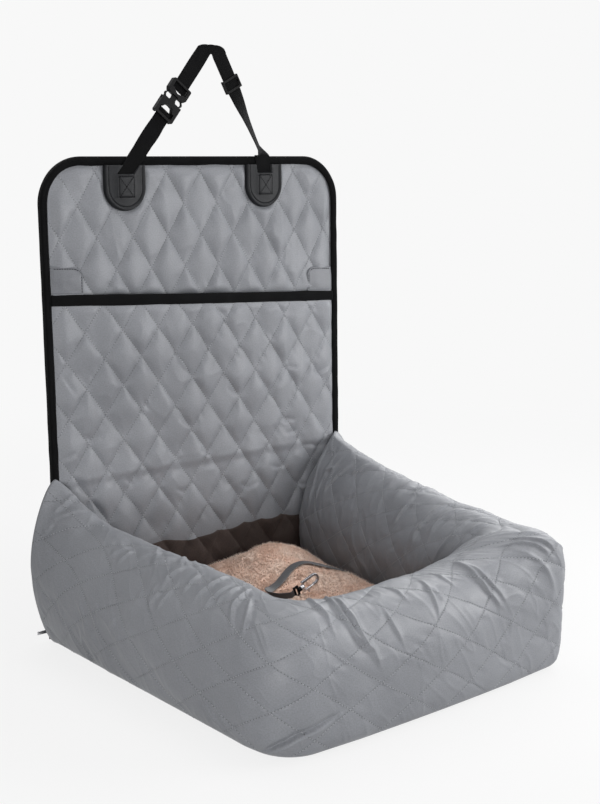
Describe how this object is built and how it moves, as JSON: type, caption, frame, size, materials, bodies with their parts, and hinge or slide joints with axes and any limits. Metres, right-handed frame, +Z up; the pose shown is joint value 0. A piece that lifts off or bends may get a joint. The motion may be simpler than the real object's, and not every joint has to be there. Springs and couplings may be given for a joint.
{
  "type": "dog car seat",
  "caption": "Quilted dog car seat: soft U-shaped bolster bed with a cushion, fold-down back panel with a pocket, adjustable headrest strap with side-release buckle, and clip-on tether.",
  "frame": {"origin": "middle of the flat underside, where the bed rests on the seat", "axes": "+Z up, +Y towards the back panel and the vehicle's seat back, +X to the right seen from the front"},
  "size_m": [0.6114, 0.5669, 0.8586],
  "materials": {
    "grey_quilt": "satin woven grey cloth, quilted in diamonds",
    "black_webbing": "matte ribbed webbing",
    "black_backing": "matte non-slip backing",
    "fibre_fill": "soft fibre wadding",
    "dark_lining": "matte dark lining cloth",
    "pink_plush": "long soft plush",
    "dark_leather": "grained synthetic leather, satin",
    "black_nylon": "moulded nylon, satin",
    "zinc": "polished plating"
  },
  "bodies": {
    "bed": {"base_cloth": "black_backing", "base_pad": "fibre_fill", "bolster_cover": "grey_quilt", "bolster_fill_left": "fibre_fill", "bolster_fill_front": "fibre_fill", "bolster_fill_right": "fibre_fill", "back_wall_quilt": "grey_quilt", "back_wall_cloth": "black_backing", "back_wall_skirt": "dark_lining", "back_wall_binding_left": "black_webbing", "back_wall_binding_right": "black_webbing", "cushion_cover": "pink_plush", "cushion_fill": "fibre_fill", "zipper_tape": "black_webbing", "zipper_teeth": "black_nylon", "tether_webbing": "black_webbing", "hook_eye": "black_nylon"},
    "back_panel": {"panel_quilt": "grey_quilt", "panel_cloth": "black_backing", "panel_binding": "black_webbing", "pocket_front": "grey_quilt", "pocket_band": "black_webbing", "corner_patch_left": "grey_quilt", "corner_patch_right": "grey_quilt", "strap_patch_left": "dark_leather", "strap_patch_right": "dark_leather", "strap_tail_left": "black_webbing", "strap_tail_right": "black_webbing"},
    "headrest_strap": {"strap_webbing_left": "black_webbing", "strap_webbing_right": "black_webbing", "buckle_female": "black_nylon", "buckle_male": "black_nylon"},
    "slider": {"strap_slider": "black_nylon"},
    "arm_left": {"buckle_arm_left": "black_nylon"},
    "arm_right": {"buckle_arm_right": "black_nylon"},
    "hook": {"hook_body": "zinc"},
    "gate": {"hook_gate": "zinc"},
    "zip_slider": {"zipper_slider": "black_nylon"},
    "zip_pull": {"zipper_pull": "zinc"}
  },
  "joints": [
    {"name": "panel_fold", "type": "hinge", "parent": "bed", "child": "back_panel", "pos_m": [0, 0.257, 0.246], "axis": [1, 0, 0], "range_deg": [-20, 90]},
    {"name": "strap_swing", "type": "hinge", "parent": "back_panel", "child": "headrest_strap", "pos_m": [0, 0.27265, 0.69929], "axis": [-1, 0, 0], "range_deg": [-60, 75]},
    {"name": "strap_adjust", "type": "slide", "parent": "headrest_strap", "child": "slider", "axis": [-0.4631, 0.0448, 0.8852], "range_m": [0, 0.024]},
    {"name": "buckle_squeeze_left", "type": "hinge", "parent": "headrest_strap", "child": "arm_left", "pos_m": [-0.05313, 0.27732, 0.79142], "axis": [0, -0.9987, 0.0506], "range_deg": [0, 5], "stiffness_Nm_per_rad": 0.08},
    {"name": "buckle_squeeze_right", "type": "hinge", "parent": "headrest_strap", "child": "arm_right", "pos_m": [-0.03316, 0.27651, 0.77542], "axis": [0, 0.9987, -0.0506], "range_deg": [0, 5], "stiffness_Nm_per_rad": 0.08},
    {"name": "hook_swivel", "type": "hinge", "parent": "bed", "child": "hook", "pos_m": [-0.03694, -0.029, 0.11324], "axis": [0.9272, 0, 0.3746], "continuous": true},
    {"name": "hook_gate_open", "type": "hinge", "parent": "hook", "child": "gate", "pos_m": [-0.02675, -0.029, 0.10991], "axis": [0, -1, 0], "range_deg": [0, 25], "stiffness_Nm_per_rad": 0.02},
    {"name": "zipper_run", "type": "slide", "parent": "bed", "child": "zip_slider", "axis": [1, 0, 0], "range_m": [0, 0.52]},
    {"name": "zipper_pull_lift", "type": "hinge", "parent": "zip_slider", "child": "zip_pull", "pos_m": [-0.275, 0.25713, 0.01541], "axis": [0, -0.0506, -0.9987], "range_deg": [0, 160]}
  ]
}
